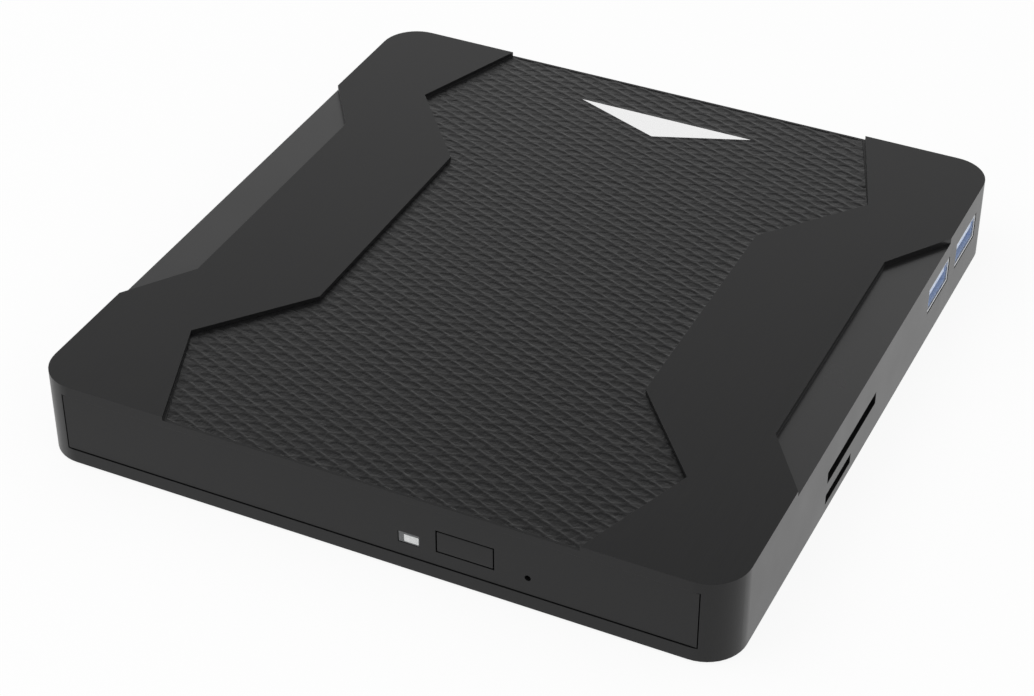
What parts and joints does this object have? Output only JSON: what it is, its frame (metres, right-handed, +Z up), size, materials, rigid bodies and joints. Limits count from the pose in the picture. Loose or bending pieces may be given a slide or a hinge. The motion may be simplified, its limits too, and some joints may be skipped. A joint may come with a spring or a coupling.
{
  "type": "external dvd drive",
  "caption": "Slim external disc drive: black case with ripple top between raised side plates, sliding tray with eject button, card slots and port sockets on one side.",
  "frame": {"origin": "on the table, under the middle of the case", "axes": "+Z up; the tray opens towards -Y; the card slots and port sockets are on the +X side"},
  "size_m": [0.142, 0.1494, 0.0186],
  "materials": {
    "case_black": "fine satin grain",
    "ripple_black": "embossed ripple, satin",
    "inlay_white": "smooth",
    "base_black": "fine grain",
    "foot_rubber": "matte",
    "screw_steel": "dark zinc",
    "sheet_steel": "rolled sheet",
    "rail_steel": "polished",
    "guide_ivory": "slick",
    "board_green": "solder mask",
    "chip_black": "moulded",
    "connector_black": "moulded",
    "port_steel": "plated",
    "tongue_blue": "moulded",
    "ribbon_film": "film",
    "tray_black": "fine grain",
    "lens_clear": "translucent",
    "magnet_copper": "varnished wire",
    "traverse_metal": "die cast",
    "shield_metal": "satin",
    "damper_rubber": "soft",
    "motor_steel": "plated",
    "hub_plastic": "moulded",
    "claw_ivory": "moulded",
    "mat_rubber": "ground",
    "objective_glass": "coated"
  },
  "bodies": {
    "case": {"top_cover": "case_black", "ripple_panel": "ripple_black", "triangle_inlay": "inlay_white", "bottom_cover": "base_black", "rubber_feet": "foot_rubber", "case_screws": "screw_steel", "drive_chassis": "sheet_steel", "drive_cover": "sheet_steel", "drive_screws": "screw_steel", "left_guide": "guide_ivory", "right_guide": "guide_ivory", "latch_pin_post": "rail_steel", "main_board": "board_green", "main_board_chips": "chip_black", "main_board_screws": "screw_steel", "drive_connector": "connector_black", "bridge_connector": "guide_ivory", "hub_board": "board_green", "hub_board_chips": "chip_black", "hub_board_screws": "screw_steel", "usb_shell_front": "port_steel", "usb_tongue_front": "tongue_blue", "usb_shell_rear": "port_steel", "usb_tongue_rear": "tongue_blue", "sd_socket": "sheet_steel", "tf_socket": "sheet_steel", "power_inlet": "port_steel", "power_inlet_tongue": "connector_black", "tray_ribbon": "ribbon_film"},
    "left_rail": {"left_rail": "rail_steel"},
    "right_rail": {"right_rail": "rail_steel"},
    "tray": {"tray": "tray_black", "tray_bezel": "case_black", "status_lens": "lens_clear", "front_board": "board_green", "eject_switch": "guide_ivory", "status_light": "lens_clear", "eject_magnet": "magnet_copper", "traverse_frame": "traverse_metal", "traverse_cover": "shield_metal", "guide_rods": "rail_steel", "damper_grommets": "damper_rubber", "traverse_screws": "screw_steel", "spindle_motor": "motor_steel", "sled_motor": "motor_steel"},
    "eject_button": {"eject_button": "case_black"},
    "latch_lever": {"latch_lever": "guide_ivory"},
    "spindle": {"turntable": "hub_plastic", "turntable_mat": "mat_rubber"},
    "hub_claw_1": {"hub_claw_1": "claw_ivory"},
    "hub_claw_2": {"hub_claw_2": "claw_ivory"},
    "hub_claw_3": {"hub_claw_3": "claw_ivory"},
    "lead_screw": {"lead_screw": "rail_steel"},
    "pickup": {"pickup_sled": "traverse_metal", "sled_nut": "guide_ivory"},
    "lens": {"lens_holder": "hub_plastic", "objective_lens": "objective_glass"}
  },
  "joints": [
    {"name": "tray_slide", "type": "slide", "parent": "case", "child": "tray", "axis": [0, -1, 0], "range_m": [0, 0.127]},
    {"name": "left_rail_slide", "type": "slide", "parent": "case", "child": "left_rail", "axis": [0, -1, 0], "range_m": [0, 0.0635]},
    {"name": "right_rail_slide", "type": "slide", "parent": "case", "child": "right_rail", "axis": [0, -1, 0], "range_m": [0, 0.0635]},
    {"name": "eject_press", "type": "slide", "parent": "tray", "child": "eject_button", "axis": [0, 1, 0], "range_m": [0, 0.0007], "stiffness_N_per_m": 900},
    {"name": "latch_turn", "type": "hinge", "parent": "tray", "child": "latch_lever", "pos_m": [0.0319, -0.053, 0.008], "axis": [0, 0, 1], "range_deg": [0, 12], "stiffness_Nm_per_rad": 0.002},
    {"name": "spindle_spin", "type": "hinge", "parent": "tray", "child": "spindle", "pos_m": [0, -0.00875, 0.0125], "axis": [0, 0, 1], "continuous": true},
    {"name": "sled_slide", "type": "slide", "parent": "tray", "child": "pickup", "axis": [-0.7071, -0.7071, 0], "range_m": [0, 0.034]},
    {"name": "lead_screw_spin", "type": "hinge", "parent": "tray", "child": "lead_screw", "pos_m": [0.0099, -0.01865, 0.0094], "axis": [-0.7071, -0.7071, 0], "range_deg": [0, 4080]},
    {"name": "lens_focus", "type": "slide", "parent": "pickup", "child": "lens", "axis": [0, 0, 1], "range_m": [-0.0004, 0.0004], "stiffness_N_per_m": 80},
    {"name": "claw_1_press", "type": "slide", "parent": "spindle", "child": "hub_claw_1", "axis": [-0.2588, 0.9659, 0], "range_m": [0, 0.0005], "stiffness_N_per_m": 1500},
    {"name": "claw_2_press", "type": "slide", "parent": "spindle", "child": "hub_claw_2", "axis": [-0.7071, -0.7071, 0], "range_m": [0, 0.0005], "stiffness_N_per_m": 1500},
    {"name": "claw_3_press", "type": "slide", "parent": "spindle", "child": "hub_claw_3", "axis": [0.9659, -0.2588, 0], "range_m": [0, 0.0005], "stiffness_N_per_m": 1500}
  ],
  "couplings": [
    {"joint": "left_rail_slide", "follows": "tray_slide", "ratio": 0.5},
    {"joint": "right_rail_slide", "follows": "tray_slide", "ratio": 0.5},
    {"joint": "lead_screw_spin", "follows": "sled_slide", "rad_per_m": 2094.4}
  ]
}
